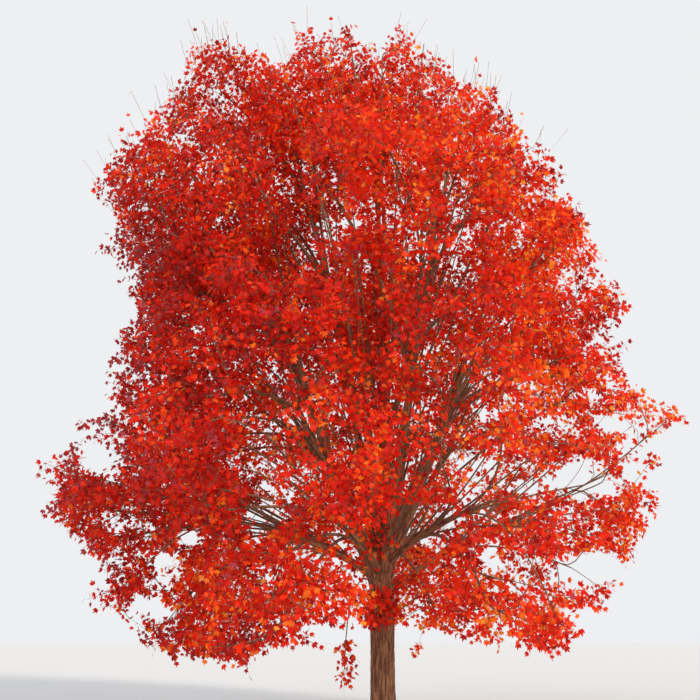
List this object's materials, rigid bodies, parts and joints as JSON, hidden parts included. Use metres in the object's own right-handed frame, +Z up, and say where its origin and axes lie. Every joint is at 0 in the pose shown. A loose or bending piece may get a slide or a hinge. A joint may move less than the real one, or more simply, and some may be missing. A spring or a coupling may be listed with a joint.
{
  "type": "freeman maple tree",
  "caption": "Freeman maple in full red autumn colour: a low fork of ascending boughs under a broad oval crown of leafy twigs.",
  "frame": {"origin": "middle of the flat cut under the trunk, at ground level", "axes": "+Z up along the trunk; the broad side that faces the viewer looks along -Y; +X to its right"},
  "size_m": [10.2168, 9.5563, 12.3658],
  "materials": {
    "bark": "finely ridged bark",
    "foliage_crimson": "matt leaves",
    "foliage_scarlet": "matt leaves",
    "foliage_flame": "matt leaves"
  },
  "bodies": {
    "root": {"trunk": "bark", "stem_1": "bark", "stem_2": "bark", "stem_3": "bark", "stem_4": "bark", "low_bough_1": "bark", "low_bough_2": "bark", "low_bough_3": "bark", "low_bough_4": "bark", "low_bough_5": "bark", "low_bough_6": "bark", "middle_bough_1": "bark", "middle_bough_2": "bark", "middle_bough_3": "bark", "middle_bough_4": "bark", "high_bough_1": "bark", "high_bough_2": "bark", "upper_mass_1": "foliage_crimson", "upper_mass_2": "foliage_crimson", "upper_mass_3": "foliage_flame", "upper_mass_4": "foliage_flame", "upper_mass_5": "foliage_flame", "upper_mass_6": "foliage_flame", "upper_mass_7": "foliage_scarlet", "upper_mass_8": "foliage_crimson", "low_mass_1": "foliage_flame", "low_mass_2": "foliage_flame", "skirt_mass_1": "foliage_flame", "low_mass_3": "foliage_flame", "low_mass_4": "foliage_scarlet", "skirt_mass_2": "foliage_scarlet", "low_mass_5": "foliage_crimson", "low_mass_6": "foliage_crimson", "skirt_mass_3": "foliage_crimson", "low_mass_7": "foliage_crimson", "low_mass_8": "foliage_crimson", "skirt_mass_4": "foliage_crimson", "low_mass_9": "foliage_crimson", "low_mass_10": "foliage_flame", "skirt_mass_5": "foliage_crimson", "low_mass_11": "foliage_flame", "low_mass_12": "foliage_flame", "skirt_mass_6": "foliage_flame", "middle_mass_1": "foliage_crimson", "middle_mass_2": "foliage_flame", "middle_mass_3": "foliage_flame", "middle_mass_4": "foliage_flame", "middle_mass_5": "foliage_flame", "middle_mass_6": "foliage_flame", "middle_mass_7": "foliage_crimson", "middle_mass_8": "foliage_crimson", "high_mass_1": "foliage_crimson", "high_mass_2": "foliage_crimson", "high_mass_3": "foliage_scarlet", "high_mass_4": "foliage_flame", "top_mass_1": "foliage_scarlet", "top_mass_2": "foliage_scarlet", "top_mass_3": "foliage_scarlet", "fork_tuft": "foliage_scarlet", "hanging_shoot": "foliage_scarlet"}
  },
  "joints": []
}
